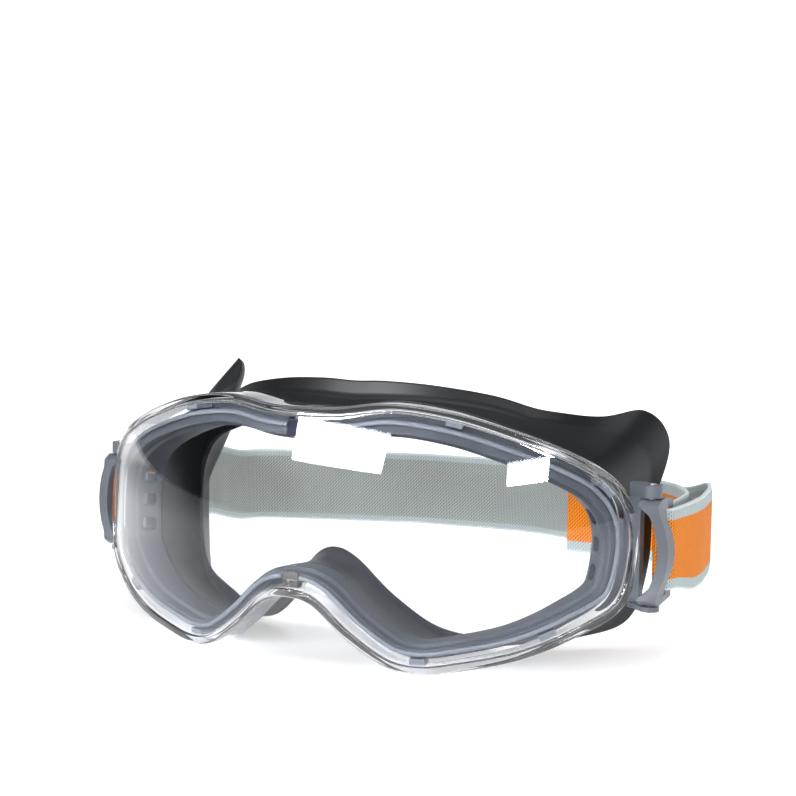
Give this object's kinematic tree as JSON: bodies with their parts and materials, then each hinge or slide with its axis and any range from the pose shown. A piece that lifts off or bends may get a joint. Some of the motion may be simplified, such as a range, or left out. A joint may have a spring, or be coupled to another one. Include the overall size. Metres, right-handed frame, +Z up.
{
  "type": "safety goggles",
  "caption": "Wide-vision safety goggles: wrap-round clear lens clipped to a vented carrier ring, soft face seal, hinged strap brackets and an adjustable elastic head strap",
  "frame": {"origin": "middle of the underside of the whole box, on the surface that the lens's lower edge stands on", "axes": "+X the wearer's left, -Y the way the wearer looks, +Z up"},
  "size_m": [0.1944, 0.161, 0.0753],
  "materials": {
    "clear_lens": "clear moulded polycarbonate, hard coated",
    "clear_catch": "clear moulded",
    "slate_frame": "fine moulded satin, slate grey",
    "gasket_foam": "soft pale grey lip",
    "black_seal": "soft elastomer, low sheen",
    "grey_webbing": "fine twill elastic",
    "orange_webbing": "fine ribbed elastic with pale edges",
    "pin_steel": "turned pin"
  },
  "bodies": {
    "frame": {"brow_catch": "clear_catch", "face_seal": "black_seal", "frame_ring": "slate_frame", "hinge_mount_left": "slate_frame", "hinge_mount_right": "slate_frame", "hinge_pin_bottom_left": "pin_steel", "hinge_pin_bottom_right": "pin_steel", "hinge_pin_top_left": "pin_steel", "hinge_pin_top_right": "pin_steel", "lens": "clear_lens", "lens_clip_inner_left": "slate_frame", "lens_clip_inner_right": "slate_frame", "lens_clip_lower_left": "slate_frame", "lens_clip_lower_right": "slate_frame", "lens_clip_temple_left": "slate_frame", "lens_clip_temple_right": "slate_frame", "lens_clip_top_left": "slate_frame", "lens_clip_top_right": "slate_frame", "lens_gasket": "gasket_foam", "nose_catch": "clear_catch", "strap": "grey_webbing", "strap_tail_left": "orange_webbing", "strap_tail_right": "orange_webbing"},
    "bracket_left": {"strap_bracket_left": "slate_frame", "strap_loop_left": "orange_webbing"},
    "bracket_right": {"strap_bracket_right": "slate_frame", "strap_loop_right": "orange_webbing"},
    "slider": {"strap_slider": "slate_frame"}
  },
  "joints": [
    {"name": "bracket_left_swing", "type": "hinge", "parent": "frame", "child": "bracket_left", "pos_m": [0.091, -0.03819, 0.0329], "axis": [0, 0, -1], "range_deg": [-5, 20]},
    {"name": "bracket_right_swing", "type": "hinge", "parent": "frame", "child": "bracket_right", "pos_m": [-0.08296, -0.03819, 0.0329], "axis": [0, 0, 1], "range_deg": [-5, 20]},
    {"name": "slider_travel", "type": "slide", "parent": "frame", "child": "slider", "axis": [-0.158, 0.9874, 0], "range_m": [-0.008, 0.008]}
  ]
}
